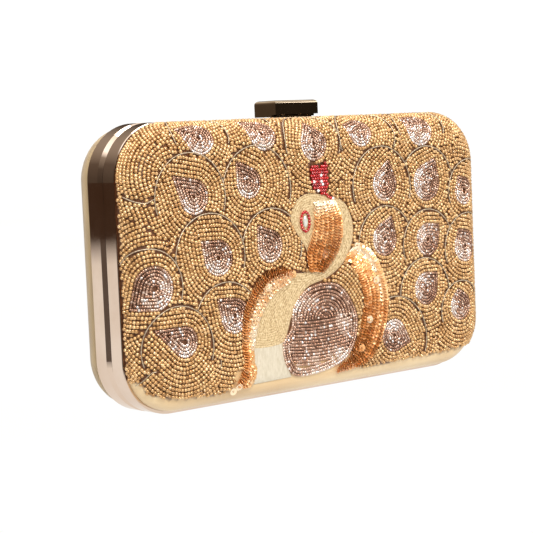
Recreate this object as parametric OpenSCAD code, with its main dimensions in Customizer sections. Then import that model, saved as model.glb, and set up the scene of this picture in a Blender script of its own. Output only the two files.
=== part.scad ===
// Hard-shell evening clutch: two metal rims hinged along the bottom, a domed
// panel in each, a sprung clasp bar on top and an embroidered front panel.
// Frame: +X across the width, -Y is the embroidered front, +Z up.
// The origin is the centre of the base, on the line where the halves part.

/* [Case] */
// Width over the metal rims
case_w = 192; // [170:1:220]
// Height over the metal rims, without the clasp bar
case_h = 112; // [100:1:130]
// Corner radius of the rims, seen from the front
corner_r = 22; // [20:1:30]

/* [Rims] */
// Depth of each rim, from the parting line to its outer edge
rim_depth = 8.5; // [7:0.5:12]
// Thickness of the rim's visible outer band
rim_band_t = 1.1; // [1:0.1:1.2]
// Height of the ledge inside the rim that the panel is seated on
ledge_h = 4; // [4:0.1:4.5]
// Depth of the V-groove along the parting line
groove_d = 1.3; // [1.2:0.05:1.4]
// Angle of each groove face from the parting plane
groove_angle = 50; // [46:1:52]
// Half the gap between the closed rims
half_gap = 0.2; // [0.15:0.05:0.3]

/* [Panels] */
// Radius of the panel's rounded edge, to the outermost layer
dome_r = 11.5; // [11:0.5:14]
// Straight wall of the front panel between rim and rounded edge
front_wall = 1.5; // [1.5:0.5:6]
// Thickness of the bead and thread layer on the front panel
bead_t = 1.2; // [1.2:0.1:1.2]
// Thickness of the cover fabric
fabric_t = 0.5; // [0.4:0.1:0.5]
// Thickness of the padding between fabric and shell
padding_t = 0.8; // [0.6:0.1:0.8]
// Wall thickness of the moulded shell
shell_t = 1.4; // [1.2:0.1:1.4]
// Thickness of the inner lining
lining_t = 0.6; // [0.4:0.1:0.7]

/* [Hinge] */
// Length of the hinge barrel
hinge_len = 22; // [18:1:40]
// Radius of the hinge knuckles
knuckle_r = 1.2; // [1.1:0.05:1.2]
// Radius of the hinge pin
hinge_pin_r = 0.6; // [0.5:0.05:0.6]
// Thickness of the hinge leaves
leaf_t = 0.7; // [0.6:0.05:0.7]

/* [Clasp] */
// Length of the clasp bar
bar_l = 23.5; // [22:0.5:30]
// Depth of the clasp bar, front to back
bar_d = 13; // [13:0.5:14]
// Height of the clasp bar above the rims
bar_h = 7; // [7:0.5:9]
// Wall thickness of the clasp bar
bar_wall = 1; // [0.9:0.1:1]
// Radius of the clasp bar's long pivot pin
clasp_pin_r = 0.6; // [0.5:0.05:0.6]

/* [Hidden] */

$fn = 64;
eps = 0.01;
rear_wall = front_wall + bead_t;
dome_foot = corner_r - dome_r;
mid_h = case_h / 2;
half_w = case_w / 2;
corner_x = half_w - corner_r;
corner_z = mid_h - corner_r;
groove_half = half_gap + groove_d * tan(groove_angle);

// Radii of the panel layers, from the outermost inwards
bead_r = dome_r;
cover_r = bead_r - bead_t;
padding_r = cover_r - fabric_t;
shell_r = padding_r - padding_t;
shell_in_r = shell_r - shell_t;
lining_r = shell_in_r - 0.1;
lining_in_r = lining_r - lining_t;

// Depths at which the panel layers start
ledge_y = 3.6;
skirt_y = 5;
bead_start = rim_depth + 1;

hinge_z = groove_d - 0.05;
knuckle_gap = 0.3;
knuckle_count = 5;
knuckle_l = (hinge_len - (knuckle_count - 1) * knuckle_gap) / knuckle_count;
leaf_gap = 0.25;
leaf_top_y = 3.5;
hinge_clear = 0.3;
rivet_r = 0.55;
hinge_rivet_x = [-8, -3, 3, 8];

pivot_y = -4;
pivot_z = case_h + 2.2;
bar_gap = 0.4;
bar_round = 1.5;
ear_r = 1.15;
ear_t = 1.4;
ear_x = 8.2;
screw_x = 4.5;
screw_y = -2.5;
tongue_t = 0.5;
tongue_w = 8;
run_fit = 0.05;

// Feather eyes: [x, z, radius, distance of the tip, direction of the tip in degrees]
FEATHERS = [
    [-64, 103.5, 6, 12, 165], [-31, 103.5, 6, 10, 165], [-4, 101.5, 6, 8.5, 120],
    [23, 103.5, 6, 9, 160], [59, 103, 6, 10, 160],
    [-66, 83, 6.5, 13, 142], [-39, 86.5, 6, 12, 122], [34.5, 83, 7, 11, 75],
    [60.5, 82, 8, 12, 60], [84, 77, 5.5, 8, 120],
    [-57, 59, 7, 12, 140], [-30, 61, 6.5, 11, 125], [34, 59, 7, 11, 70],
    [59.5, 57.5, 7.5, 11, 45], [83.5, 52.5, 6.5, 9, 120],
    [-86.5, 51, 7.8, 12, 228], [-50, 36, 7.5, 13, 140], [58, 36.5, 7, 10, 45],
    [79, 27, 6.3, 8, 100], [-75, 28.5, 6, 16, 158], [38, 18.5, 6.5, 11, -20]
];

// Outlines of the bird, as points of smooth closed curves in [x, z]
BIRD_THREAD = [
    [-9, 81], [-16, 77.5], [-18.5, 71], [-14.5, 64], [-10.5, 58], [-10, 50],
    [-24, 49], [-34, 41], [-40, 32], [-41.5, 22.5], [-26, 22.5], [-20, 33],
    [-12, 43], [0, 46.5], [9, 51.5], [14.5, 59], [15.5, 68], [11, 76.5], [2, 79.5]
];
CHEEK = [
    [-7, 79], [-8, 70], [-9, 62], [-11, 55], [-9, 49.5], [-3, 49], [4, 54],
    [7.5, 62], [7, 71], [2, 78]
];
LEFT_BAND = [
    [-17, 49.5], [-25, 52], [-34, 50.5], [-41, 44.5], [-45.5, 36], [-46.5, 26],
    [-46, 16], [-51, 7.5], [-43, 7.5], [-40.5, 13], [-41.5, 24], [-38.5, 33], [-31, 42.5]
];
RIGHT_BAND = [
    [11, 53], [17, 58.5], [24, 56], [29.5, 49], [33.5, 38], [32.5, 26], [26, 14],
    [16, 8.5], [8, 9.5], [14.5, 17], [19, 26], [20.5, 36], [18, 45]
];
BODY = [
    [-3, 44.5], [6, 43], [13, 36.5], [16.5, 28.5], [14.5, 18], [7, 11.5], [-4, 8.5],
    [-18, 8], [-24, 13], [-25.5, 22], [-20, 29], [-18, 37], [-11.5, 43]
];
PATCH = [[-41, 8], [-41, 22.5], [-24, 22.5], [-24, 8]];
CREST = [
    [-6.5, 93.5], [-7.5, 87], [-4, 81], [1.5, 78], [6, 77.8], [6, 79.5], [1.5, 81],
    [1.5, 87], [1, 93], [-2, 91.5]
];
EYE = [[-11.5, 75], [-13.6, 72.5], [-14.2, 70], [-13.4, 67.5], [-11.5, 65],
    [-9.6, 67.5], [-8.8, 70], [-9.4, 72.5]];
STONE = [[-11.5, 73], [-12.6, 71.3], [-12.9, 70], [-12.5, 68.5], [-11.5, 67],
    [-10.5, 68.5], [-10.1, 70], [-10.4, 71.3]];

// ---------- geometry helpers ----------

// One point of a Catmull-Rom curve through points i and i + 1 of a closed list
function curve_point(p, i, t) =
    let (n = len(p), a = p[(i + n - 1) % n], b = p[i], c = p[(i + 1) % n], d = p[(i + 2) % n])
    0.5 * ((2 * b) + (c - a) * t + (2 * a - 5 * b + 4 * c - d) * t * t
        + (3 * b - a - 3 * c + d) * t * t * t);

// A closed list of points made smooth, with a few steps in each stretch
function smooth(p, steps = 3) =
    [for (i = [0 : len(p) - 1]) for (s = [0 : steps - 1]) curve_point(p, i, s / steps)];

// Local frame of a half: x across, y up, z away from the parting plane.
// Stands the front half up, facing -Y.
module front_half() {
    rotate([90, 0, 0]) children();
}

// Stands the rear half up, facing +Y.
module rear_half() {
    mirror([0, 1, 0]) rotate([90, 0, 0]) children();
}

// Sweeps a profile round the case outline. Profile x is the distance from the
// corner's centre and profile y the depth.
module around() {
    translate([0, mid_h, 0])
        for (i = [0 : 3]) {
            across = i % 2 == 0 ? corner_x : corner_z;
            along = i % 2 == 0 ? corner_z : corner_x;
            rotate([0, 0, 90 * i]) translate([across, along, 0]) {
                rotate_extrude(angle = 90) children();
                rotate([90, 0, 0]) linear_extrude(2 * along) children();
            }
        }
}

// Flat plate with the case outline's corners, of corner radius r
module plate(r, z0, z1) {
    translate([0, mid_h, z0]) linear_extrude(z1 - z0) {
        square([2 * corner_x + 2 * r, 2 * corner_z], center = true);
        square([2 * corner_x, 2 * corner_z + 2 * r], center = true);
        for (x = [-corner_x, corner_x])
            for (y = [-corner_z, corner_z])
                translate([x, y]) circle(r);
    }
}

// Quarter of a ring with a straight skirt under it
module layer_profile(r_out, r_in, z_start, z_arc) {
    translate([dome_foot, z_arc]) intersection() {
        difference() {
            circle(r_out, $fn = 96);
            circle(r_in, $fn = 96);
        }
        square(r_out + 1);
    }
    translate([dome_foot + r_in, z_start]) square([r_out - r_in, z_arc - z_start]);
}

// One layer of a domed panel, between radius r_in and r_out
module layer(r_out, r_in, z_start, z_arc) {
    around() layer_profile(r_out, r_in, z_start, z_arc);
    plate(dome_foot, z_arc + r_in, z_arc + r_out);
}

module front_layer(r_out, r_in, z_start) {
    front_half() layer(r_out, r_in, z_start, rim_depth + front_wall);
}

module rear_layer(r_out, r_in, z_start) {
    rear_half() layer(r_out, r_in, z_start, rim_depth + rear_wall);
}

// ---------- rims ----------

module rim_profile() {
    r = corner_r;
    round_over = 0.3;
    polygon([
        [r, groove_half],
        [r, rim_depth - round_over],
        [r - round_over, rim_depth],
        [r - rim_band_t, rim_depth],
        [r - rim_band_t, ledge_y],
        [r - ledge_h, ledge_y],
        [r - ledge_h, half_gap],
        [r - groove_d, half_gap]
    ]);
}

// Cut-outs for the hinge barrel, the leaf web and the four rivets
module hinge_cuts() {
    long = hinge_len + 2 * hinge_clear;
    translate([-long / 2, -1, -1]) cube([long, hinge_z + knuckle_r + hinge_clear + 1, 2.55]);
    translate([-long / 2, -1, -1]) cube([long, ledge_h + 2, 2 + leaf_gap + leaf_t - 0.2]);
    for (x = hinge_rivet_x)
        translate([x, 1, 2.3]) rotate([-90, 0, 0]) cylinder(r = rivet_r, h = ledge_h);
}

module rim() {
    difference() {
        around() rim_profile();
        hinge_cuts();
    }
}

module rear_rim() {
    color([0.86, 0.78, 0.70]) difference() {
        rear_half() rim();
        translate([-tongue_w / 2 - 0.1, 0.9, case_h - tongue_t])
            cube([tongue_w + 0.2, 4.4, tongue_t + 1]);
        for (x = [-2.5, 2.5])
            translate([x, 2.3, case_h - 2.5]) cylinder(r = rivet_r, h = 3);
    }
}

module front_rim() {
    color([0.86, 0.78, 0.70]) difference() {
        front_half() rim();
        for (x = [-screw_x, screw_x])
            translate([x, screw_y, case_h - ledge_h - 1])
                cylinder(r = 0.7 + run_fit, h = ledge_h + 2);
    }
}

// ---------- panels ----------

module rear_shell() {
    color([0.25, 0.25, 0.25]) rear_layer(shell_r, shell_in_r, ledge_y);
}

module rear_padding() {
    color([0.95, 0.94, 0.9]) rear_layer(padding_r, shell_r, skirt_y);
}

module rear_cover() {
    color([0.72, 0.60, 0.40]) rear_layer(cover_r, padding_r, skirt_y);
}

module rear_lining() {
    color([0.80, 0.68, 0.45]) rear_layer(lining_r, lining_in_r, ledge_y + 0.1);
}

module front_shell() {
    color([0.25, 0.25, 0.25]) front_layer(shell_r, shell_in_r, ledge_y);
}

module front_padding() {
    color([0.95, 0.94, 0.9]) front_layer(padding_r, shell_r, skirt_y);
}

module front_cover() {
    color([0.88, 0.74, 0.53]) front_layer(cover_r, padding_r, skirt_y);
}

module front_lining() {
    color([0.80, 0.68, 0.45]) front_layer(lining_r, lining_in_r, ledge_y + 0.1);
}

// ---------- hinge ----------

// Places knuckle i of the barrel along X
module at_knuckle(i) {
    translate([-hinge_len / 2 + i * (knuckle_l + knuckle_gap), 0, hinge_z])
        rotate([0, 90, 0]) children();
}

// A leaf on the +Y side with the knuckles listed, bored to bore_r
module leaf(knuckles, bore_r) {
    web_z = hinge_z + knuckle_r + hinge_clear;
    difference() {
        union() {
            translate([-hinge_len / 2, leaf_gap, web_z])
                cube([hinge_len, leaf_t, ledge_h + leaf_t - web_z]);
            translate([-hinge_len / 2, leaf_gap, ledge_h])
                cube([hinge_len, leaf_top_y - leaf_gap, leaf_t]);
            for (i = knuckles) {
                at_knuckle(i) cylinder(r = knuckle_r, h = knuckle_l);
                translate([-hinge_len / 2 + i * (knuckle_l + knuckle_gap), leaf_gap, hinge_z])
                    cube([knuckle_l, leaf_t, web_z - hinge_z + eps]);
            }
        }
        translate([-hinge_len / 2 - 1, 0, hinge_z]) rotate([0, 90, 0])
            cylinder(r = bore_r, h = hinge_len + 2);
        for (x = hinge_rivet_x)
            translate([x, 2.3, ledge_h - 1]) cylinder(r = rivet_r, h = leaf_t + 2);
    }
}

module hinge_leaf_rear() {
    color([0.80, 0.70, 0.58]) leaf([0, 2, 4], hinge_pin_r);
}

module hinge_leaf_front() {
    color([0.80, 0.70, 0.58]) mirror([0, 1, 0]) leaf([1, 3], hinge_pin_r + run_fit);
}

module hinge_pin() {
    color([0.75, 0.66, 0.55])
        translate([-hinge_len / 2, 0, hinge_z]) rotate([0, 90, 0])
            cylinder(r = hinge_pin_r, h = hinge_len);
}

// Four rivets with low heads on the leaf, upset in the ledge
module leaf_rivets() {
    for (x = hinge_rivet_x)
        translate([x, 2.3, 1]) {
            cylinder(r = rivet_r, h = ledge_h + leaf_t - 1);
            translate([0, 0, ledge_h + leaf_t - 1]) cylinder(r = 0.95, h = 0.35);
        }
}

module hinge_rivets_rear() {
    color([0.85, 0.76, 0.62]) leaf_rivets();
}

module hinge_rivets_front() {
    color([0.85, 0.76, 0.62]) mirror([0, 1, 0]) leaf_rivets();
}

// ---------- clasp ----------

// Sprung steel tongue, let into the rear rim, that the bar snaps over
module catch_tongue() {
    color([0.70, 0.68, 0.64]) difference() {
        union() {
            translate([-tongue_w / 2, 1, case_h - tongue_t]) cube([tongue_w, 4.1, tongue_t]);
            translate([-tongue_w / 2, 5.1 - tongue_t, case_h - tongue_t])
                cube([tongue_w, tongue_t, tongue_t + 3.1]);
            translate([-tongue_w / 2, 5.1 - tongue_t, case_h + 2.6]) rotate([0, 90, 0])
                cylinder(r = 0.25, h = tongue_w);
        }
        for (x = [-2.5, 2.5])
            translate([x, 2.3, case_h - 1]) cylinder(r = rivet_r, h = 2);
    }
}

module catch_rivets() {
    color([0.85, 0.76, 0.62])
        for (x = [-2.5, 2.5])
            translate([x, 2.3, case_h - 2.5]) cylinder(r = rivet_r, h = 2.5);
}

// Bracket on the front rim with two ears that carry the bar's pivot pin
module clasp_base() {
    plate_t = 0.8;
    color([0.80, 0.70, 0.58]) difference() {
        union() {
            translate([-ear_x - ear_t, -4.7, case_h]) cube([2 * (ear_x + ear_t), 4.1, plate_t]);
            for (x = [-ear_x - ear_t, ear_x]) {
                translate([x, -4.7, case_h]) cube([ear_t, 1.7, 2.2]);
                translate([x, pivot_y, pivot_z]) rotate([0, 90, 0])
                    cylinder(r = ear_r, h = ear_t);
            }
        }
        translate([-half_w / 2, pivot_y, pivot_z]) rotate([0, 90, 0])
            cylinder(r = clasp_pin_r + run_fit, h = half_w);
        for (x = [-screw_x, screw_x])
            translate([x, screw_y, case_h - 1]) cylinder(r = 0.7 + run_fit, h = 3);
    }
}

module clasp_screws() {
    color([0.75, 0.66, 0.55])
        for (x = [-screw_x, screw_x])
            translate([x, screw_y, case_h - 3.6]) {
                cylinder(r = 0.7, h = 4.4);
                translate([0, 0, 4.4]) cylinder(r = 1.2, h = 0.5);
            }
}

// End outline of the bar in [y, z], with rounded top edges
module bar_end(inset) {
    half = bar_d / 2 - inset;
    top = case_h + bar_h - inset;
    r = bar_round - inset / 2;
    translate([-half, case_h + bar_gap - inset]) square([2 * half, top - r - case_h - bar_gap + inset]);
    translate([-half + r, top - r - 1]) square([2 * half - 2 * r, r + 1]);
    for (y = [-half + r, half - r])
        translate([y, top - r]) circle(r);
}

// The bar's block, rounded along its long top edges and its ends
module bar_block(inset) {
    long = bar_l - 2 * inset;
    r = bar_round - inset / 2;
    intersection() {
        translate([-long / 2, 0, 0]) rotate([90, 0, 90]) linear_extrude(long) bar_end(inset);
        translate([0, bar_d, 0]) rotate([90, 0, 0]) linear_extrude(2 * bar_d) union() {
            translate([-long / 2, case_h - 2]) square([long, bar_h + 2 - inset - r]);
            translate([-long / 2 + r, case_h - 2]) square([long - 2 * r, bar_h + 2 - inset]);
            for (x = [-long / 2 + r, long / 2 - r])
                translate([x, case_h + bar_h - inset - r]) circle(r);
        }
    }
}

module clasp_bar() {
    color([0.45, 0.38, 0.33]) difference() {
        bar_block(0);
        bar_block(bar_wall);
        translate([-bar_l / 2 - 1, -bar_d / 2 - 1, case_h])
            cube([bar_l + 2, bar_d / 2 + 1 + pivot_y, 1.2]);
        translate([-bar_l / 2 + 0.3, pivot_y, pivot_z]) rotate([0, 90, 0])
            cylinder(r = clasp_pin_r, h = bar_l - 0.6);
    }
}

module clasp_pin() {
    color([0.75, 0.66, 0.55])
        translate([-bar_l / 2 + 0.35, pivot_y, pivot_z]) rotate([0, 90, 0])
            cylinder(r = clasp_pin_r, h = bar_l - 0.7);
}

// Torsion spring round the pivot pin, with one leg up against the bar's roof
module clasp_spring() {
    wire_r = 0.2;
    coil_r = 0.92;
    turns = 14;
    color([0.7, 0.7, 0.72]) {
        translate([-turns * wire_r, pivot_y, pivot_z]) rotate([0, 90, 0])
            rotate_extrude() {
                for (i = [0 : turns - 1])
                    translate([coil_r, (2 * i + 1) * wire_r]) circle(wire_r, $fn = 16);
                translate([coil_r - 0.06, 0]) square([0.12, 2 * turns * wire_r]);
            }
        translate([turns * wire_r - wire_r, pivot_y + coil_r, pivot_z])
            cylinder(r = wire_r, h = 3.4, $fn = 16);
    }
}

// ---------- embroidery ----------

// Teardrop: an arc closed by the two tangents from its tip
module teardrop(f) {
    tangent = acos(f[2] / f[3]);
    steps = 18;
    arc = [
        for (i = [0 : steps])
            let (a = tangent + i * (360 - 2 * tangent) / steps) f[2] * [cos(a), sin(a)]
    ];
    translate([f[0], f[1]]) rotate(f[4]) polygon(concat([[f[3], 0]], arc));
}

module feather_shapes() {
    for (f = FEATHERS) teardrop(f);
}

module body_shape() { polygon(smooth(BODY)); }
module cheek_shape() { polygon(smooth(CHEEK)); }
module eye_shape() { polygon(EYE); }
module stone_shape() { polygon(STONE); }
module crest_shape() { polygon(smooth(CREST, 2)); }
module bands_shape() {
    polygon(smooth(LEFT_BAND, 2));
    polygon(smooth(RIGHT_BAND, 2));
}
module thread_shape() { polygon(smooth(BIRD_THREAD, 2)); }
module patch_shape() { polygon(PATCH); }

// Everything on the front panel that isn't gold seed beads
module motif_shapes() {
    feather_shapes();
    body_shape();
    cheek_shape();
    bands_shape();
    crest_shape();
    thread_shape();
    patch_shape();
}

// The part of the bead layer above the 2D children
module on_panel() {
    intersection() {
        front_layer(bead_r, cover_r, bead_start);
        front_half() linear_extrude(rim_depth + front_wall + dome_r + 1) children();
    }
}

// The plain satin border below the beads
module bare_border() {
    translate([-half_w, -1]) square([case_w, 6]);
}

module bead_field() {
    color([0.80, 0.62, 0.35]) difference() {
        front_layer(bead_r, cover_r, bead_start);
        front_half() linear_extrude(rim_depth + front_wall + dome_r + 1) {
            motif_shapes();
            bare_border();
        }
    }
}

module feather_eyes() {
    color([0.55, 0.40, 0.33]) on_panel() difference() {
        feather_shapes();
        bands_shape();
        crest_shape();
    }
}

module bird_body_beads() {
    color([0.52, 0.35, 0.26]) on_panel() body_shape();
}

module bird_zari_thread() {
    color([0.80, 0.70, 0.45]) on_panel() difference() {
        thread_shape();
        body_shape();
        cheek_shape();
        bands_shape();
        crest_shape();
        eye_shape();
        patch_shape();
    }
}

module sequin_bands() {
    color([0.88, 0.58, 0.28]) on_panel() difference() {
        union() {
            cheek_shape();
            bands_shape();
        }
        body_shape();
        crest_shape();
        patch_shape();
    }
}

module silver_patch() {
    color([0.82, 0.75, 0.62]) on_panel() difference() {
        patch_shape();
        body_shape();
    }
}

module crest_beads() {
    color([0.75, 0.08, 0.08]) on_panel() crest_shape();
}

module eye_ring() {
    color([0.75, 0.08, 0.08]) on_panel() difference() {
        eye_shape();
        stone_shape();
        cheek_shape();
    }
}

module eye_stone() {
    color([0.93, 0.91, 0.84]) on_panel() stone_shape();
}

rear_rim();
rear_shell();
rear_padding();
rear_cover();
rear_lining();
hinge_leaf_rear();
hinge_pin();
hinge_rivets_rear();
catch_tongue();
catch_rivets();
front_rim();
front_shell();
front_padding();
front_cover();
front_lining();
hinge_leaf_front();
hinge_rivets_front();
clasp_base();
clasp_screws();
bead_field();
feather_eyes();
bird_body_beads();
bird_zari_thread();
sequin_bands();
silver_patch();
crest_beads();
eye_ring();
eye_stone();
clasp_bar();
clasp_pin();
clasp_spring();
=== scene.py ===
import math

import bmesh
import bpy
import numpy as np
from mathutils import Matrix, Vector, kdtree


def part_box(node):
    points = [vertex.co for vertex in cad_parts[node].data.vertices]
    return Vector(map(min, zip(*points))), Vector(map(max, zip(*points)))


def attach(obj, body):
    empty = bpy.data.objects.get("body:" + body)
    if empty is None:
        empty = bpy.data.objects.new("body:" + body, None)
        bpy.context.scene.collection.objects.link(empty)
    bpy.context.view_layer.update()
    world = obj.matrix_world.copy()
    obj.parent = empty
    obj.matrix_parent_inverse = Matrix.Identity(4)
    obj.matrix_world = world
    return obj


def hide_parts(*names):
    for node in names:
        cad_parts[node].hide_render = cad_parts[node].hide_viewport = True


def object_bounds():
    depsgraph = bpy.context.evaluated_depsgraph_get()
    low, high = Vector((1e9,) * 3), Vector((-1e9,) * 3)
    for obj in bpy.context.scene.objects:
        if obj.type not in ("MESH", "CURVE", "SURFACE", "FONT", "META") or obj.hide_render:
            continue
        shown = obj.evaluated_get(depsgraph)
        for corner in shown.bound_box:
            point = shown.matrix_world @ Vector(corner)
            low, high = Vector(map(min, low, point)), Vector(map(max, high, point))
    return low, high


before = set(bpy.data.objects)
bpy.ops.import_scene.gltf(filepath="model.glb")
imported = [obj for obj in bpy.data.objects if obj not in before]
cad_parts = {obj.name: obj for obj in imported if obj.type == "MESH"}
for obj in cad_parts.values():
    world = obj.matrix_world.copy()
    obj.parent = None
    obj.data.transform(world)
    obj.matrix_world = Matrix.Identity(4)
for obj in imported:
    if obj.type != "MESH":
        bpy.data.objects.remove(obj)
cad_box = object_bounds()
rng = np.random.default_rng(7)
MM = 0.001


def mm(value):
    return value / MM


# ---------------------------------------------------------------- camera

def make_camera():
    """A long lens, low and to the left of the embroidered front, turned a little about its own axis."""
    azimuth, elevation = math.radians(42.158), math.radians(4.649)
    distance, aim_height = 0.70275, 0.05025
    roll, yaw = math.radians(-2.397), math.radians(0.891)
    level = math.cos(elevation)
    back = Vector((-math.sin(azimuth) * level, -math.cos(azimuth) * level, math.sin(elevation)))
    right = Vector((math.cos(azimuth), -math.sin(azimuth), 0))
    up = back.cross(right)
    facing = Matrix((right, up, back)).transposed()
    turn = facing @ Matrix.Rotation(roll, 3, "Z") @ Matrix.Rotation(yaw, 3, "Y")
    data = bpy.data.cameras.new("camera")
    data.lens, data.sensor_width, data.clip_start = 114.18, 36, 0.01
    camera = bpy.data.objects.new("camera", data)
    bpy.context.scene.collection.objects.link(camera)
    camera.matrix_world = Matrix.Translation(back * distance + Vector((0, 0, aim_height))) @ turn.to_4x4()
    bpy.context.scene.camera = camera


make_camera()

# ---------------------------------------------------------------- sizes, in mm

rim_low, rim_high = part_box("front_rim")
HALF_W = mm(rim_high[0])
CASE_H = mm(rim_high[2])
MID = CASE_H / 2
CORNER_R = 22.0
CX, CZ = HALF_W - CORNER_R, MID - CORNER_R
DOME_R = 11.5
FOOT = CORNER_R - DOME_R
COVER_R, PADDING_R, SHELL_R, LINING_R = 10.3, 9.8, 9.0, 7.45
FRONT_ARC = -mm(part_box("bead_field")[0][1]) - DOME_R
REAR_ARC = mm(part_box("rear_cover")[1][1]) - COVER_R
SKIRT, LEDGE = 5.0, 3.75
BEAD_LEVEL = 10.84
CROWN = 0.45
# Room under the hinge for the front half, which hangs below it when it is fully open
OPEN_ROOM = 24.0


class Panel:
    """Turns points of a flat, unrolled panel (x, z in mm) into points on its domed surface."""

    def __init__(self, side, arc, reference):
        self.side, self.arc, self.reference = side, arc, reference

    def split(self, p):
        q = np.asarray(p, float) - (0, MID)
        c = np.clip(q, (-CX, -CZ), (CX, CZ))
        d = q - c
        dist = np.hypot(d[:, 0], d[:, 1])
        n = d / np.maximum(dist, 1e-9)[:, None]
        return q, c, n, dist

    def past_foot(self, p):
        return np.maximum(self.split(p)[3] - FOOT, 0)

    def lift(self, p, level):
        """Points in mm and outward normals, at radius level of the rounded edge."""
        q, c, n, dist = self.split(p)
        past = np.maximum(dist - FOOT, 0)
        angle = np.minimum(past / self.reference, math.pi / 2)
        straight = np.maximum(past - self.reference * math.pi / 2, 0)
        u = np.clip(np.abs(q[:, 0]) / (CX + FOOT), 0, 1)
        v = np.clip(np.abs(q[:, 1]) / (CZ + FOOT), 0, 1)
        drop = CROWN * (1 - (1 - u ** 2) * (1 - v ** 2)) * np.cos(angle)
        radius = level - drop
        out = np.minimum(dist, FOOT) + radius * np.sin(angle)
        depth = self.arc + radius * np.cos(angle) - straight
        flat = c + n * out[:, None]
        points = np.stack([flat[:, 0], self.side * depth, flat[:, 1] + MID], 1)
        normals = np.stack([n[:, 0] * np.sin(angle), self.side * np.cos(angle), n[:, 1] * np.sin(angle)], 1)
        return points, normals

    def axes(self, p, along, level):
        """Points, and the row direction, normal and cross direction there."""
        p, along = np.asarray(p, float), np.asarray(along, float)
        points, normals = self.lift(p, level)
        ahead, _ = self.lift(p + along * 0.05, level)
        behind, _ = self.lift(p - along * 0.05, level)
        t = ahead - behind
        t -= (t * normals).sum(1)[:, None] * normals
        t /= np.maximum(np.linalg.norm(t, axis=1), 1e-9)[:, None]
        return points, t, normals, np.cross(normals, t)

    def unroll(self, p):
        """From where a point shows from straight in front to where it is on the unrolled panel."""
        _, c, n, dist = self.split(p)
        s = np.clip((dist - FOOT) / self.reference, 0, 0.97)
        far = np.where(dist > FOOT, FOOT + self.reference * np.arcsin(s), dist)
        return c + n * far[:, None] + (0, MID)


FRONT = Panel(-1, FRONT_ARC, 11.0)
REAR = Panel(1, REAR_ARC, COVER_R)


# ---------------------------------------------------------------- 2-D helpers

def between(a, b, c, d, t):
    """The Catmull-Rom curve from b to c."""
    square, cube = 2 * a - 5 * b + 4 * c - d, 3 * b - a - 3 * c + d
    return 0.5 * (2 * b + (c - a) * t + square * t ** 2 + cube * t ** 3)


def smooth(points, steps=6):
    """A closed curve through the points."""
    p = np.asarray(points, float)
    t = (np.arange(steps) / steps)[None, :, None]
    a, b, c, d = (np.roll(p, k, 0)[:, None, :] for k in (1, 0, -1, -2))
    return between(a, b, c, d, t).reshape(-1, 2)


def smooth_open(points, steps=8):
    """An open curve through the points."""
    p = np.asarray(points, float)
    p = np.vstack([2 * p[0] - p[1], p, 2 * p[-1] - p[-2]])
    rows = []
    for a, b, c, d in zip(p[:-3], p[1:-2], p[2:-1], p[3:]):
        for t in np.arange(steps) / steps:
            rows.append(between(a, b, c, d, t))
    rows.append(p[-2])
    return np.array(rows)


def resample(line, pitch, closed=False, start=0.0):
    """Evenly spaced points along a line, with the direction at each."""
    p = np.vstack([line, line[:1]]) if closed else np.asarray(line, float)
    step = np.linalg.norm(np.diff(p, axis=0), axis=1)
    along = np.concatenate([[0], np.cumsum(step)])
    count = max(int(round(along[-1] / pitch)), 1)
    real = along[-1] / count
    at = (np.arange(count) + (start if closed else 0.5)) * real % max(along[-1], 1e-9)

    def place(where):
        return np.stack([np.interp(where, along, p[:, k]) for k in (0, 1)], 1)

    points = place(at)
    t = place(np.clip(at + 0.1, 0, along[-1])) - place(np.clip(at - 0.1, 0, along[-1]))
    return points, t / np.maximum(np.linalg.norm(t, axis=1), 1e-9)[:, None]


def inside(outline, p):
    a, b = outline, np.roll(outline, -1, 0)
    p = np.asarray(p, float)
    x, y = p[:, :1], p[:, 1:]
    crosses = (a[:, 1] > y) != (b[:, 1] > y)
    gap = np.where(np.abs(b[:, 1] - a[:, 1]) < 1e-12, 1e-12, b[:, 1] - a[:, 1])
    return (crosses & (x < a[:, 0] + (y - a[:, 1]) * (b[:, 0] - a[:, 0]) / gap)).sum(1) % 2 == 1


def to_line(line, p, closed=True):
    """Distance to a line, and the nearest point on it."""
    a = line if closed else line[:-1]
    b = np.roll(line, -1, 0) if closed else line[1:]
    p = np.asarray(p, float)
    ab = b - a
    t = ((p[:, None, :] - a) * ab).sum(2) / np.maximum((ab ** 2).sum(1), 1e-12)
    near = a + np.clip(t, 0, 1)[:, :, None] * ab
    d = np.linalg.norm(p[:, None, :] - near, axis=2)
    best = d.argmin(1)
    rows = np.arange(len(p))
    return d[rows, best], near[rows, best]


def depth_in(outline, p):
    """Distance to the outline, above zero inside it."""
    d, _ = to_line(outline, p)
    return np.where(inside(outline, p), d, -d)


def moved(outline, d):
    """A closed outline moved outwards by d."""
    p = outline
    t = np.roll(p, -1, 0) - np.roll(p, 1, 0)
    t /= np.maximum(np.linalg.norm(t, axis=1), 1e-9)[:, None]
    n = np.stack([t[:, 1], -t[:, 0]], 1)
    area = (p[:, 0] * np.roll(p[:, 1], -1) - np.roll(p[:, 0], -1) * p[:, 1]).sum()
    return p + n * d * (1 if area > 0 else -1)


# ---------------------------------------------------------------- meshes

def add_piece(name, verts, faces, material, body, replaced=(), shade=None, more=None):
    """A piece from points in mm."""
    mesh = bpy.data.meshes.new(name)
    mesh.from_pydata((np.asarray(verts) * MM).tolist(), [], [list(f) for f in faces])
    mesh.update()
    extra = {} if shade is None else {"shade": shade}
    for key, values in (extra | (more or {})).items():
        attribute = mesh.attributes.new(key, "FLOAT", "POINT")
        attribute.data.foreach_set("value", np.asarray(values, np.float32))
    mesh.shade_smooth()
    mesh.materials.append(material)
    piece = bpy.data.objects.new(name, mesh)
    bpy.context.scene.collection.objects.link(piece)
    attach(piece, body)
    if replaced:
        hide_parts(*replaced)
    return piece


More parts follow.
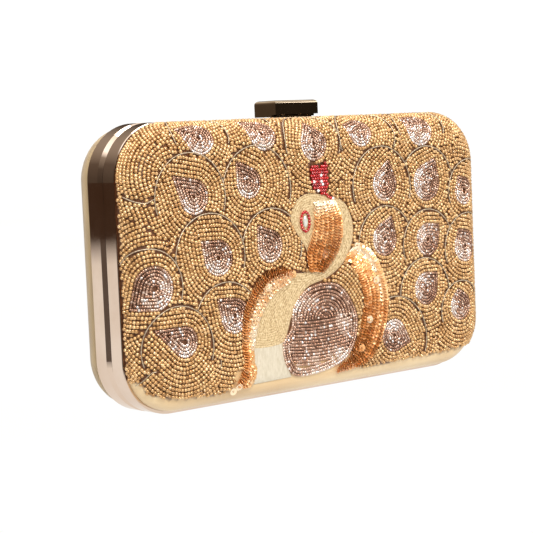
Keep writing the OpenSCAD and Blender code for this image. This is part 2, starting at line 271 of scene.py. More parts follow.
# Profiles of beads and sequins: place along the axis and radius, as shares of their length and radius
BEAD = [
    (-0.36, 0.28), (-0.5, 0.4), (-0.45, 0.66), (-0.26, 0.91), (0, 1.0),
    (0.26, 0.91), (0.45, 0.66), (0.5, 0.4), (0.36, 0.28),
]
BEAD_SIDES = 8
SMALL_BEAD = [(-0.4, 0.3), (-0.5, 0.56), (-0.38, 0.88), (0, 1.0), (0.38, 0.88), (0.5, 0.56), (0.4, 0.3)]
SEQUIN = [(-0.05, 0.2), (0.05, 0.2), (0.08, 0.5), (0.2, 0.86), (0.24, 1.0), (0.16, 1.0), (0.02, 0.6)]


def ringed(profile, sides, centre, axis, u, v, length, radius):
    """A ring-shaped solid at each centre. The profile is (place along the axis, radius)."""
    profile = np.asarray(profile, float)
    turn = np.arange(sides) * 2 * math.pi / sides
    n, k = len(centre), len(profile)
    length, radius = np.broadcast_to(length, n), np.broadcast_to(radius, n)
    along = axis[:, None, None, :] * (profile[:, 0][None, :, None] * length[:, None, None])[..., None]
    round_it = u[:, None, :] * np.cos(turn)[None, :, None] + v[:, None, :] * np.sin(turn)[None, :, None]
    out = round_it[:, None, :, :] * (profile[:, 1][None, :, None] * radius[:, None, None])[..., None]
    verts = (centre[:, None, None, :] + along + out).reshape(-1, 3)
    i, j = np.meshgrid(np.arange(k), np.arange(sides), indexing="ij")
    i2, j2 = (i + 1) % k, (j + 1) % sides
    quad = np.stack([i * sides + j, i * sides + j2, i2 * sides + j2, i2 * sides + j], -1).reshape(-1, 4)
    hand = np.sign((np.cross(u[0], v[0]) * axis[0]).sum())
    if hand < 0:
        quad = quad[:, ::-1]
    faces = (quad[None] + (np.arange(n) * k * sides)[:, None, None]).reshape(-1, 4)
    return verts, faces, k * sides


def string_beads(name, points, along, material, length, radius, level, shade, replaced=(),
                 profile=BEAD):
    """One piece made of beads that lie along their rows."""
    centre, t, n, b = FRONT.axes(points, along, level)
    wobble = rng.normal(0, 0.05, (len(points), 1))
    t = t + b * wobble
    t /= np.linalg.norm(t, axis=1)[:, None]
    b = np.cross(n, t)
    verts, faces, each = ringed(profile, BEAD_SIDES, centre, t, n, b, length, radius)
    return add_piece(name, verts, faces, material, "front_half", replaced, np.repeat(shade, each))


def tube(points, normals, radius, sides=8, twist=0.0):
    """A closed tube along a line of 3-D points."""
    t = np.gradient(points, axis=0)
    t /= np.linalg.norm(t, axis=1)[:, None]
    b = np.cross(t, normals)
    b /= np.linalg.norm(b, axis=1)[:, None]
    n = np.cross(b, t)
    travelled = np.concatenate([[0], np.cumsum(np.linalg.norm(np.diff(points, axis=0), axis=1))])
    turn = np.arange(sides) * 2 * math.pi / sides
    lobes = 1 + 0.16 * np.cos(2 * (turn[None, :] + travelled[:, None] * twist))
    end = np.minimum(1, np.minimum(np.arange(len(points)), np.arange(len(points))[::-1]) * 0.5 + 0.35)
    r = radius * lobes * end[:, None]
    ring = n[:, None, :] * np.cos(turn)[None, :, None] + b[:, None, :] * np.sin(turn)[None, :, None]
    verts = points[:, None, :] + ring * r[..., None]
    faces = []
    for i in range(len(points) - 1):
        for j in range(sides):
            k = (j + 1) % sides
            faces.append([i * sides + j, (i + 1) * sides + j, (i + 1) * sides + k, i * sides + k])
    faces.append([j for j in range(sides)])
    faces.append([(len(points) - 1) * sides + j for j in range(sides)][::-1])
    return verts.reshape(-1, 3), faces


def joined(parts):
    """Several meshes as one."""
    verts, faces, at = [], [], 0
    for v, f in parts:
        verts.append(v)
        faces.extend([[k + at for k in face] for face in f])
        at += len(v)
    return np.vstack(verts), faces


def closed_sheet(top, bottom, quads):
    """Top and bottom surfaces with the same layout, joined along their open edges."""
    n = len(top)
    quads = np.asarray(quads)
    edges = {}
    for q in quads:
        for a, b in zip(q, np.roll(q, -1)):
            edges[(int(a), int(b))] = 1
    sides = [(a, b) for a, b in edges if (b, a) not in edges]
    faces = quads.tolist() + (quads[:, ::-1] + n).tolist() + [[b, a, a + n, b + n] for a, b in sides]
    return np.vstack([top, bottom]), faces


def facing_out(top, quads, outward):
    """The quads, turned so that they face the same way as outward at their first point."""
    a, b, c = (top[quads[:, k]] for k in (0, 1, 2))
    n = np.cross(b - a, c - a)
    return quads if (n * outward[quads[:, 0]]).sum() > 0 else quads[:, ::-1]


def layer_grid(panel, end_depth, nu=150, nv=92):
    """A grid over an unrolled panel down to a skirt depth, round at the case's corners."""
    reach = FOOT + panel.reference * math.pi / 2 + (panel.arc - end_depth)
    arc45 = reach * math.pi / 4

    def side_point(a, long_side):
        """A point of the outer edge, a from -1 to 1 along the side that faces +z (long) or +x."""
        straight = CX if long_side else CZ
        s = a * (straight + arc45)
        over = np.maximum(np.abs(s) - straight, 0) / reach
        along = np.sign(s) * (np.minimum(np.abs(s), straight) + reach * np.sin(over))
        across = (CZ if long_side else CX) + reach * np.cos(over)
        return along, across

    u, v = np.meshgrid(np.linspace(-1, 1, nu + 1), np.linspace(-1, 1, nv + 1), indexing="ij")
    u, v = u.ravel(), v.ravel()
    r = np.maximum(np.maximum(np.abs(u), np.abs(v)), 1e-9)
    tall = np.abs(v) >= np.abs(u)
    x1, z1 = side_point(u / r, True)
    z2, x2 = side_point(v / r, False)
    x = np.where(tall, x1, np.sign(u) * x2) * r
    z = np.where(tall, np.sign(v) * z1, z2) * r
    i, j = np.meshgrid(np.arange(nu), np.arange(nv), indexing="ij")
    k = (i * (nv + 1) + j).ravel()
    quads = np.stack([k, k + nv + 1, k + nv + 2, k + 1], 1)
    area = 4 * CX * CZ + 4 * (CX + CZ) * reach + math.pi * reach ** 2
    cut = (2 * (CX + reach) * MM, 2 * (CZ + reach) * MM)
    return np.stack([x, z + MID], 1), quads, cut, area * MM * MM


def layer(name, panel, out_level, in_level, end_depth, material, body, node, ripple=0.0,
          more=None, min_in=None):
    """A closed layer between two levels of a panel, its flat cut and area. None of it dips under min_in."""
    flat, quads, cut, area = layer_grid(panel, end_depth)
    top, normals = panel.lift(flat, out_level)
    bottom, _ = panel.lift(flat, in_level)
    if min_in is not None:
        past = panel.past_foot(flat)
        straight = np.maximum(past - panel.reference * math.pi / 2, 0)
        least = panel.arc + min_in * np.cos(np.minimum(past / panel.reference, math.pi / 2)) - straight
        bottom[:, 1] = panel.side * np.maximum(panel.side * bottom[:, 1], least)
    if ripple:
        wave = np.sin(flat[:, 0] * 0.21 + np.sin(flat[:, 1] * 0.13) * 1.3) * np.sin(flat[:, 1] * 0.17 + 1.1)
        calm = np.clip(1 - panel.past_foot(flat) / 8, 0, 1)
        shift = normals * (ripple * wave * calm)[:, None]
        top, bottom = top + shift, bottom + shift
    quads = facing_out(top, quads, normals)
    verts, faces = closed_sheet(top, bottom, quads)
    extra = {key: np.tile(fn(flat), 2) for key, fn in (more or {}).items()}
    return add_piece(name, verts, faces, material, body, (node,), None, extra), cut, area


# ---------------------------------------------------------------- materials

def rgb(r, g, b):
    """A colour as seen, 0 to 255, made linear."""
    shares = (r / 255, g / 255, b / 255)
    return tuple(c / 12.92 if c <= 0.04045 else ((c + 0.055) / 1.055) ** 2.4 for c in shares) + (1,)


class Mat:
    """A material and its nodes."""

    def __init__(self, name, **values):
        self.m = bpy.data.materials.new(name)
        self.m.use_nodes = True
        self.nodes, self.links = self.m.node_tree.nodes, self.m.node_tree.links
        self.bsdf = self.nodes["Principled BSDF"]
        for key, value in values.items():
            self.bsdf.inputs[key.replace("_", " ")].default_value = value
        self.where = self.nodes.new("ShaderNodeTexCoord").outputs["Object"]

    def stretched(self, scale):
        node = self.nodes.new("ShaderNodeMapping")
        node.inputs["Scale"].default_value = scale
        self.links.new(self.where, node.inputs["Vector"])
        return node.outputs["Vector"]

    def noise(self, scale, detail=2.0, vector=None, rough=0.5):
        node = self.nodes.new("ShaderNodeTexNoise")
        node.inputs["Scale"].default_value = scale
        node.inputs["Detail"].default_value = detail
        node.inputs["Roughness"].default_value = rough
        self.links.new(vector or self.where, node.inputs["Vector"])
        return node.outputs["Fac"]

    def wave(self, scale, direction="X", vector=None, distortion=0.0, detail_scale=1.0):
        node = self.nodes.new("ShaderNodeTexWave")
        node.bands_direction = direction
        node.inputs["Scale"].default_value = scale
        node.inputs["Distortion"].default_value = distortion
        node.inputs["Detail Scale"].default_value = detail_scale
        self.links.new(vector or self.where, node.inputs["Vector"])
        return node.outputs["Fac"]

    def voronoi(self, scale):
        node = self.nodes.new("ShaderNodeTexVoronoi")
        node.inputs["Scale"].default_value = scale
        self.links.new(self.where, node.inputs["Vector"])
        return node.outputs["Distance"]

    def attribute(self, name):
        node = self.nodes.new("ShaderNodeAttribute")
        node.attribute_name = name
        return node.outputs["Fac"]

    def math(self, kind, a, b=0.0, c=0.0):
        node = self.nodes.new("ShaderNodeMath")
        node.operation = kind
        for socket, value in zip(node.inputs, (a, b, c)):
            if isinstance(value, (int, float)):
                socket.default_value = value
            else:
                self.links.new(value, socket)
        return node.outputs[0]

    def ramp(self, fac, *stops):
        node = self.nodes.new("ShaderNodeValToRGB")
        elements = node.color_ramp.elements
        while len(elements) < len(stops):
            elements.new(0.5)
        for element, (position, colour) in zip(elements, stops):
            element.position, element.color = position, colour
        self.links.new(fac, node.inputs["Fac"])
        return node.outputs["Color"]

    def mix(self, fac, a, b):
        node = self.nodes.new("ShaderNodeMix")
        node.data_type = "RGBA"
        for socket, value in zip((node.inputs["Factor"], node.inputs["A"], node.inputs["B"]), (fac, a, b)):
            socket = [s for s in node.inputs if s.name == socket.name and s.enabled][0]
            if hasattr(value, "links"):
                self.links.new(value, socket)
            else:
                socket.default_value = value
        return [o for o in node.outputs if o.enabled][0]

    def range(self, fac, low, high, from_low=0.3, from_high=0.7):
        node = self.nodes.new("ShaderNodeMapRange")
        values = {"From Min": from_low, "From Max": from_high, "To Min": low, "To Max": high}
        for key, value in values.items():
            node.inputs[key].default_value = value
        self.links.new(fac, node.inputs["Value"])
        return node.outputs["Result"]

    def bump(self, *heights):
        """Heights are (socket, distance in mm)."""
        last = None
        for height, distance in heights:
            node = self.nodes.new("ShaderNodeBump")
            node.inputs["Distance"].default_value = distance * MM
            node.inputs["Strength"].default_value = 1.0
            self.links.new(height, node.inputs["Height"])
            if last:
                self.links.new(last, node.inputs["Normal"])
            last = node.outputs["Normal"]
        self.links.new(last, self.bsdf.inputs["Normal"])

    def blend(self, a, share_a, b, share_b):
        return self.math("ADD", self.math("MULTIPLY", a, share_a), self.math("MULTIPLY", b, share_b))

    def set(self, key, socket):
        self.links.new(socket, self.bsdf.inputs[key])


def metal(name, dark, light, low, high, scratch=0.004):
    m = Mat(name, Metallic=1.0)
    cloud = m.noise(60, 4)
    m.set("Base Color", m.ramp(cloud, (0.3, dark), (0.7, light)))
    hairlines = m.noise(900, 3, m.stretched((0.15, 1, 1)))
    m.set("Roughness", m.range(m.blend(cloud, 0.5, hairlines, 0.5), low, high))
    m.bump((hairlines, scratch))
    return m.m


RIM = metal("rim_metal_polished", rgb(222, 198, 178), rgb(236, 216, 200), 0.025, 0.07, 0.0005)
CLASP = metal("clasp_metal_polished", rgb(206, 184, 154), rgb(230, 212, 188), 0.02, 0.05, 0.0003)
HINGE = metal("hinge_metal_plated", rgb(190, 165, 130), rgb(220, 198, 168), 0.16, 0.3, 0.004)
SPRING = metal("spring_steel_wire", rgb(120, 122, 128), rgb(190, 192, 198), 0.18, 0.34, 0.006)


def shell_material():
    m = Mat("shell_plastic_moulded", Roughness=0.5)
    grain = m.voronoi(1800)
    m.set("Base Color", m.ramp(m.noise(40, 3), (0.35, rgb(44, 40, 37)), (0.65, rgb(62, 57, 52))))
    m.set("Roughness", m.range(grain, 0.4, 0.6, 0, 0.8))
    m.bump((grain, 0.04))
    return m.m


def felt_material():
    m = Mat("padding_felt", Roughness=0.95, Sheen_Weight=0.35)
    fibres = m.noise(2600, 6, m.stretched((1, 1, 0.35)), 0.7)
    m.set("Base Color", m.ramp(m.noise(300, 5), (0.3, rgb(222, 216, 202)), (0.7, rgb(243, 239, 228))))
    m.bump((fibres, 0.12))
    return m.m


def satin(name, dark, light, rough=0.36, painted_gap_shade=False):
    m = Mat(name, Sheen_Weight=0.25, Sheen_Roughness=0.4, Specular_IOR_Level=0.55)
    slub = m.noise(220, 4, m.stretched((0.12, 1, 1)))
    weave_x = m.wave(1150, "X")
    weave_z = m.wave(1500, "Z")
    broad = m.noise(26, 3)
    tone = m.blend(slub, 0.5, broad, 0.5)
    colour = m.ramp(tone, (0.36, dark), (0.64, light))
    # Under the bead field the satin gets a dark brown painted shade, standing for the shadow in the gaps
    # between the beads.
    if painted_gap_shade:
        gap_shade_colour = m.ramp(m.noise(900, 4), (0.3, rgb(72, 38, 16)), (0.7, rgb(120, 74, 38)))
        colour = m.mix(m.attribute("painted_gap_shade"), colour, gap_shade_colour)
    m.set("Base Color", colour)
    m.set("Roughness", m.range(slub, rough - 0.05, rough + 0.09))
    weave = m.math("ADD", weave_x, weave_z)
    m.bump((weave, 0.012), (slub, 0.05))
    return m.m


SATIN = satin("satin_cover", rgb(210, 174, 124), rgb(232, 202, 154), painted_gap_shade=True)
LINING = satin("satin_lining", rgb(176, 142, 94), rgb(194, 160, 112), 0.42)


def raw_silk_material():
    m = Mat("raw_silk_twill", Sheen_Weight=0.3, Sheen_Roughness=0.5)
    across = m.math("ADD", m.attribute("across"), m.attribute("up"))
    twill = m.math("MULTIPLY_ADD", m.math("SINE", m.math("MULTIPLY", across, 2 * math.pi / 1.25)), 0.5, 0.5)
    slub = m.noise(420, 5, m.stretched((1, 1, 0.15)))
    tone = m.blend(twill, 0.45, slub, 0.55)
    stops = (0.25, rgb(126, 98, 58)), (0.5, rgb(168, 138, 90)), (0.78, rgb(204, 176, 126))
    m.set("Base Color", m.ramp(tone, *stops))
    m.set("Roughness", m.range(slub, 0.42, 0.62))
    m.bump((twill, 0.10), (slub, 0.06))
    return m.m


def bead_material(name, stops, metallic, low, high, coat=0.0, clear=0.0):
    """Glass or metal beads. Each has its own shade, and a bloom that differs over it."""
    m = Mat(name, Metallic=metallic, Coat_Weight=coat, Coat_Roughness=0.06, Transmission_Weight=clear,
            Specular_IOR_Level=0.6)
    bloom = m.noise(900, 3)
    tone = m.blend(m.attribute("shade"), 0.8, bloom, 0.2)
    m.set("Base Color", m.ramp(tone, *stops))
    m.set("Roughness", m.range(bloom, low, high))
    m.bump((m.noise(2600, 2), 0.012))
    return m.m


GOLD = bead_material("gold_seed_beads", (
    (0.1, rgb(152, 106, 58)), (0.45, rgb(204, 158, 102)), (0.8, rgb(238, 200, 146)),
), 0.5, 0.22, 0.34, 0.5)
# The near-white top stop is the colour of painted glints.
BROWN = bead_material("rose_brown_seed_beads", (
    (0.1, rgb(128, 88, 66)), (0.42, rgb(192, 150, 124)), (0.68, rgb(234, 208, 190)), (0.9, rgb(255, 248, 244)),
), 0.72, 0.14, 0.26, 0.5)
# The near-white top stop is the colour of painted glints.
RED = bead_material("red_seed_beads", (
    (0.1, rgb(110, 4, 8)), (0.5, rgb(184, 14, 18)), (0.74, rgb(206, 34, 30)), (0.82, rgb(250, 240, 236)),
), 0.05, 0.08, 0.18, 0.8)
SEQUINS = bead_material("copper_sequins", (
    (0.05, rgb(168, 96, 36)), (0.35, rgb(226, 150, 78)), (0.62, rgb(246, 190, 126)), (0.95, rgb(255, 236, 204)),
), 0.45, 0.14, 0.26, 0.6)
STONE = bead_material("pale_stone", (
    (0.1, rgb(206, 208, 196)), (0.9, rgb(238, 240, 230)),
), 0.1, 0.05, 0.12, 1.0, 0.25)


def cord_material():
    m = Mat("silver_brown_cord", Metallic=0.55)
    plies = m.noise(1400, 3)
    m.set("Base Color", m.ramp(plies, (0.3, rgb(160, 138, 108)), (0.7, rgb(222, 206, 180))))
    m.set("Roughness", m.range(plies, 0.3, 0.5))
    m.bump((plies, 0.05))
    return m.m


def zari_material():
    m = Mat("zari_thread_work", Metallic=0.3, Sheen_Weight=0.2)
    grain = m.noise(1500, 4, None, 0.65)
    rows = m.attribute("row")
    tone = m.blend(grain, 0.88, rows, 0.12)
    stops = (0.34, rgb(150, 116, 74)), (0.5, rgb(208, 180, 132)), (0.68, rgb(240, 218, 174))
    m.set("Base Color", m.ramp(tone, *stops))
    m.set("Roughness", m.range(grain, 0.34, 0.56))
    m.bump((grain, 0.09))
    return m.m


def tissue_material():
    m = Mat("silver_tissue_cloth", Metallic=0.25, Sheen_Weight=0.3)
    warp = m.wave(720, "X", None, 0.6, 2.0)
    grain = m.noise(1300, 4, m.stretched((1, 1, 0.3)))
    tone = m.blend(warp, 0.4, grain, 0.6)
    m.set("Base Color", m.ramp(tone, (0.25, rgb(186, 172, 142)), (0.75, rgb(228, 218, 198))))
    m.set("Roughness", m.range(grain, 0.36, 0.55))
    m.bump((warp, 0.03), (grain, 0.04))
    return m.m


FELT, SHELL, SILK = felt_material(), shell_material(), raw_silk_material()
CORD, ZARI, TISSUE = cord_material(), zari_material(), tissue_material()
HINGE_NODES = (
    "hinge_leaf_rear", "hinge_leaf_front", "hinge_pin", "hinge_rivets_rear", "hinge_rivets_front",
    "catch_rivets", "clasp_screws",
)

for names, material in (
    (("front_rim", "rear_rim"), RIM),
    (("clasp_bar", "clasp_base", "clasp_pin"), CLASP),
    (HINGE_NODES, HINGE),
    (("catch_tongue", "clasp_spring"), SPRING),
    (("front_shell", "rear_shell"), SHELL),
):
    for name in names:
        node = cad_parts[name]
        node.data.materials.clear()
        node.data.materials.append(material)
        if material in (RIM, CLASP):
            bevel = node.modifiers.new("soft_edges", "BEVEL")
            bevel.width = (0.3 if material is CLASP else 0.16) * MM
            bevel.segments, bevel.limit_method, bevel.angle_limit = 3, "ANGLE", math.radians(38)
            bevel.harden_normals = True

# ---------------------------------------------------------------- layout of the embroidery, in mm

# Each feather: eye centre, eye radius, distance and direction of its tip, then its cell's centre and
# radius. Earlier cells lie over later ones.
CELLS = [
    (37.5, 18.5, 7, 11, -20, 38, 16, 19),
    (79.5, 27, 6.3, 8, 100, 80, 25, 13),
    (-75, 28.5, 6, 16, 158, -78, 26, 16.5),
    (-50, 36, 7, 11.5, 140, -54, 33.5, 16),
    (58, 36.5, 7, 10, 42, 57, 34.5, 15.3),
    (-88, 50, 8.5, 11, 228, -90, 50, 15),
    (84, 53, 7, 9, 120, 86, 52, 15.5),
    (60, 57.5, 7, 10, 40, 60, 55, 15.5),
    (33.7, 59.5, 7, 11, 65, 34, 57.5, 16),
    (-57, 59, 7, 11, 140, -61, 59.5, 17),
    (-30.5, 61.5, 6.5, 11, 125, -29.5, 61, 15.5),
    (84.5, 77, 6, 8, 120, 88, 77, 14),
    (35, 82.5, 7, 11, 75, 33, 81.5, 17),
    (60.5, 82, 8, 12, 60, 60.5, 81.5, 16),
    (-67.5, 83, 6.8, 13.5, 140, -69.5, 83, 17),
    (-40, 87, 6.2, 11, 125, -36, 84, 17.5),
    (-4.5, 101, 7, 9, 100, -5, 102, 15),
    (22.5, 105, 6.5, 9, 160, 26, 103, 16),
    (-63, 105.5, 7, 11, 160, -62, 107, 13.5),
    (58, 105, 7.5, 10, 150, 59, 107, 14),
    (-31, 106, 7, 10, 150, -37, 112, 13.5),
]
SHORT_CORDS = [
    [(-95.5, 85), (-93.5, 83), (-90, 82), (-86.5, 83.5)],
    [(-94, 13), (-91, 18), (-88.5, 19)],
    [(-58, 20), (-58.5, 16)],
]
FIELD_BOTTOM = [
    (-130, 13), (-94, 12), (-92, 8), (-85, 7), (-60, 5), (-53, 6), (-50, 14),
    (18, 14), (20, 6.2), (60, 6.8), (75, 8), (96, 8.5), (130, 9),
]

BIRD_THREAD = smooth([
    (-9, 81), (-16, 77.5), (-18.5, 71), (-14.5, 64), (-10.5, 58), (-10, 50),
    (-24, 49), (-34, 41), (-40, 32), (-41.5, 22.5), (-26, 22.5), (-20, 33),
    (-12, 43), (0, 46.5), (9, 51.5), (14.5, 59), (15.5, 68), (11, 76.5), (2, 79.5),
])
CHEEK = smooth([
    (-6, 78), (-6.5, 70), (-9, 63), (-11.5, 59), (-10, 49.5),
    (-3, 49), (4, 54), (8.5, 62), (8.5, 71), (4, 78),
])
LEFT_OUTER = [
    (-17, 49.8), (-25, 52.2), (-34, 50.8), (-41, 44.5),
    (-45.5, 36), (-46.5, 26), (-46, 16), (-51, 7.5),
]
LEFT_INNER = [(-16, 49.2), (-22, 46.6), (-31, 42), (-38, 33.5), (-41.3, 24), (-41, 13), (-43.5, 7.5)]
LEFT_BAND = np.vstack([smooth_open(LEFT_OUTER), smooth_open(LEFT_INNER)[::-1]])
RIGHT_OUTER = [
    (12, 54.5), (17, 58.8), (24, 56.2), (29.8, 49), (33.8, 38),
    (32.8, 26), (26.5, 14), (16, 7.6), (4, 7),
]
RIGHT_INNER = [(11, 53), (14.5, 50), (18, 45), (20.6, 36), (18.6, 27), (15.2, 18.5), (10.5, 12.5), (4, 8.8)]
RIGHT_BAND = np.vstack([smooth_open(RIGHT_OUTER), smooth_open(RIGHT_INNER)[::-1]])
BODY = smooth([
    (-3, 44.5), (6, 43), (12.5, 36.5), (16, 28.5), (14.5, 19), (8.5, 12), (-4, 8.2),
    (-18, 7.8), (-24, 13), (-25.7, 22), (-21, 28), (-19.5, 36), (-12.5, 42.5),
])
PATCH = np.array([(-41, 7.5), (-41, 22.8), (-25.5, 22.8), (-24.5, 15), (-21, 8)], float)
CREST = smooth([
    (-6.5, 93), (-7.3, 87), (-5.5, 83), (-2, 80.5), (0.5, 79.5),
    (1.5, 82), (2.5, 87), (1.5, 93.5), (-2, 91.5),
], 4)
MOTIFS = [BIRD_THREAD, CHEEK, LEFT_BAND, RIGHT_BAND, BODY, PATCH, CREST]
WEDGE = np.array([
    (0, 46.5), (9, 51), (12, 52.5), (17, 46.5), (20.5, 38),
    (18.6, 29), (15.5, 28), (12, 37), (6, 43.5),
], float)

GOLD_PITCH, GOLD_ROWS, GOLD_R = 1.5, 1.64, 0.79
BROWN_PITCH = 1.02
# How far gold beads keep from each other, from a cord and from a feather's eye
BEAD_GAP, CORD_GAP, EYE_GAP = 1.3, 0.72, 0.75
CORD_LEVEL, CORD_R = COVER_R + 1.02, 0.2
FIELD_LIMIT = FRONT.reference * math.pi / 2 + 0.8


class Feather:
    """A feather's teardrop eye and its round cell, on the unrolled panel."""

    def __init__(self, x, z, r, length, direction, cx, cz, cr):
        turn = math.radians(direction)
        tip = (x + length * math.cos(turn), z + length * math.sin(turn))
        flat = FRONT.unroll([(x, z), tip, (cx, cz)])
        self.eye, self.tip, self.centre = flat
        self.r, self.cell_r = r, cr
        axis = self.tip - self.eye
        self.length = max(np.linalg.norm(axis), r * 1.08)
        self.turn = math.atan2(axis[1], axis[0])
        self.side = math.acos(min(r / self.length, 1))

    def row(self, d, pitch):
        """Points and directions along the eye's outline moved out by d, or scaled down if d < 0."""
        r, length, tip_r = self.r + d, self.length, d
        if d < 0:
            length, tip_r = self.length * r / self.r, 0.001
        big = np.linspace(self.turn + self.side, self.turn + 2 * math.pi - self.side, 140)
        little = np.linspace(self.turn - self.side, self.turn + self.side, 24)
        tip = self.eye + length * np.array((math.cos(self.turn), math.sin(self.turn)))
        line = np.vstack([
            self.eye + r * np.stack([np.cos(big), np.sin(big)], 1),
            tip + tip_r * np.stack([np.cos(little), np.sin(little)], 1),
        ])
        return resample(line, pitch, True, rng.random())

    def away(self, p):
        """Distance out of the eye's outline, and the direction straight out of it."""
        c, s = math.cos(self.turn), math.sin(self.turn)
        q = np.asarray(p, float) - self.eye
        u, v = q[:, 0] * c + q[:, 1] * s, -q[:, 0] * s + q[:, 1] * c
        sign, v = np.where(v < 0, -1.0, 1.0), np.abs(v)
        ca, sa = math.cos(self.side), math.sin(self.side)
        along = (u - self.r * ca) * sa - (v - self.r * sa) * ca
        end = self.length * sa
        r = np.hypot(u, v)
        tu, tr = u - self.length, np.hypot(u - self.length, v)
        dist = np.where(along < 0, r - self.r, np.where(along > end, tr, u * ca + v * sa - self.r))
        round_eye, round_tip = np.maximum(r, 1e-9), np.maximum(tr, 1e-9)
        gu = np.where(along < 0, u / round_eye, np.where(along > end, tu / round_tip, ca))
        gv = np.where(along < 0, v / round_eye, np.where(along > end, v / round_tip, sa)) * sign
        return dist, np.stack([gu * c - gv * s, gu * s + gv * c], 1)


FEATHERS = [Feather(*row) for row in CELLS]
CENTRES = np.array([f.centre for f in FEATHERS])
RADII = np.array([f.cell_r for f in FEATHERS])
SHORT = [FRONT.unroll(smooth_open(line)) for line in SHORT_CORDS]
BOTTOM = np.array(FIELD_BOTTOM, float)


def owner(p):
    """The cell that each point belongs to."""
    d = np.linalg.norm(p[:, None, :] - CENTRES, axis=2) - RADII
    covered = d < 0
    return np.where(covered.any(1), covered.argmax(1), d.argmin(1))


def on_cord(p, reach):
    """Whether a point is within reach of a cord along a cell's edge."""
    hit = np.zeros(len(p), bool)
    for i, f in enumerate(FEATHERS):
        q = p - f.centre
        d = np.linalg.norm(q, axis=1)
        n = q / np.maximum(d, 1e-9)[:, None]
        near = (np.abs(d - f.cell_r) < reach) & (n[:, 1] > -0.35)
        if near.any() and i:
            edge = f.centre + n * f.cell_r
            over = (np.linalg.norm(edge[:, None, :] - CENTRES[:i], axis=2) < RADII[:i]).any(1)
            near &= ~over
        hit |= near
    for line in SHORT:
        hit |= to_line(line, p, False)[0] < reach
    return hit


def in_field(p, clear=0.0):
    """Whether a point is on the beaded ground: on the panel, above its plain border and off the bird."""
    ok = FRONT.past_foot(p) < FIELD_LIMIT - clear
    shown_z = p[:, 1]
    ok &= shown_z > np.interp(p[:, 0], BOTTOM[:, 0], BOTTOM[:, 1]) + clear
    for outline in MOTIFS:
        ok &= depth_in(outline, p) < -clear
    return ok


# ---------------------------------------------------------------- gold beads

def spaced_out(points, taken, least):
    """Which points keep at least that far from the ones taken."""
    if not len(taken):
        return np.ones(len(points), bool)
    tree = kdtree.KDTree(len(taken))
    for i, p in enumerate(taken):
        tree.insert((p[0], p[1], 0), i)
    tree.balance()
    return np.array([tree.find((p[0], p[1], 0))[2] >= least for p in points], bool)


def fill_gaps(taken, reach=BEAD_GAP, step=0.5):
    """Single beads for the gaps that the rows leave."""
    x = np.arange(-CX - FOOT - FIELD_LIMIT, CX + FOOT + FIELD_LIMIT, step)
    z = np.arange(MID - CZ - FOOT - FIELD_LIMIT, MID + CZ + FOOT + FIELD_LIMIT, step)
    grid = np.stack(np.meshgrid(x, z, indexing="ij"), -1).reshape(-1, 2)
    grid = grid[in_field(grid, 0.55)]
    grid = grid[~on_cord(grid, CORD_GAP)]
    for f in FEATHERS:
        grid = grid[f.away(grid)[0] > EYE_GAP]
    grid = grid[spaced_out(grid, taken, reach)]
    chosen = []
    for p in grid:
        if all((p[0] - c[0]) ** 2 + (p[1] - c[1]) ** 2 > reach * reach for c in chosen[-400:]):
            chosen.append(p)
    return np.array(chosen).reshape(-1, 2)


def gold_field():
    """Points and directions of the gold beads of each cell."""
    taken = np.zeros((0, 2))
    rows = []
    for i, f in enumerate(FEATHERS):
        points, along = [], []
        for d in 0.8 + GOLD_ROWS * np.arange(26):
            p, t = f.row(d, GOLD_PITCH)
            keep = (owner(p) == i) & in_field(p, 0.6)
            p, t = p[keep], t[keep]
            if len(p):
                keep = ~on_cord(p, CORD_GAP)
                p, t = p[keep], t[keep]
            for other in FEATHERS:
                if other is not f and len(p):
                    keep = other.away(p)[0] > EYE_GAP
                    p, t = p[keep], t[keep]
            points.append(p)
            along.append(t)
        points, along = np.vstack(points), np.vstack(along)
        keep = spaced_out(points, taken, BEAD_GAP)
        points, along = points[keep], along[keep]
        taken = np.vstack([taken, points])
        rows.append([points, along])
    extra = fill_gaps(taken)
    at = owner(extra)
    for i, f in enumerate(FEATHERS):
        p = extra[at == i]
        if len(p):
            _, n = f.away(p)
            rows[i][0] = np.vstack([rows[i][0], p])
            rows[i][1] = np.vstack([rows[i][1], np.stack([-n[:, 1], n[:, 0]], 1)])
    return rows


def make_gold():
    for i, (points, along) in enumerate(gold_field()):
        in_wedge = inside(WEDGE, points)
        points, along = points[~in_wedge], along[~in_wedge]
        n = len(points)
        points = points + rng.normal(0, 0.08, (n, 2))
        shade = np.clip(rng.normal(0.5, 0.17, n), 0, 1)
        string_beads(
            f"gold_beads_{i + 1:02d}", points, along, GOLD,
            rng.normal(1.38, 0.06, n), rng.normal(GOLD_R, 0.04, n),
            BEAD_LEVEL + rng.normal(0, 0.03, n).mean(), shade, replaced=("bead_field",) if i == 0 else (),
        )
    points, along = [], []
    for d in 0.95 + 1.62 * np.arange(14):
        p, t = resample(moved(BODY, d), GOLD_PITCH, True)
        clear = inside(WEDGE, p)
        for outline in (BIRD_THREAD, RIGHT_BAND, BODY, CHEEK):
            clear &= depth_in(outline, p) < -0.7
        points.append(p[clear])
        along.append(t[clear])
    points, along = np.vstack(points), np.vstack(along)
    n = len(points)
    string_beads("gold_beads_wing", points, along, GOLD, rng.normal(1.34, 0.05, n), GOLD_R,
                 BEAD_LEVEL, np.clip(rng.normal(0.5, 0.15, n), 0, 1))


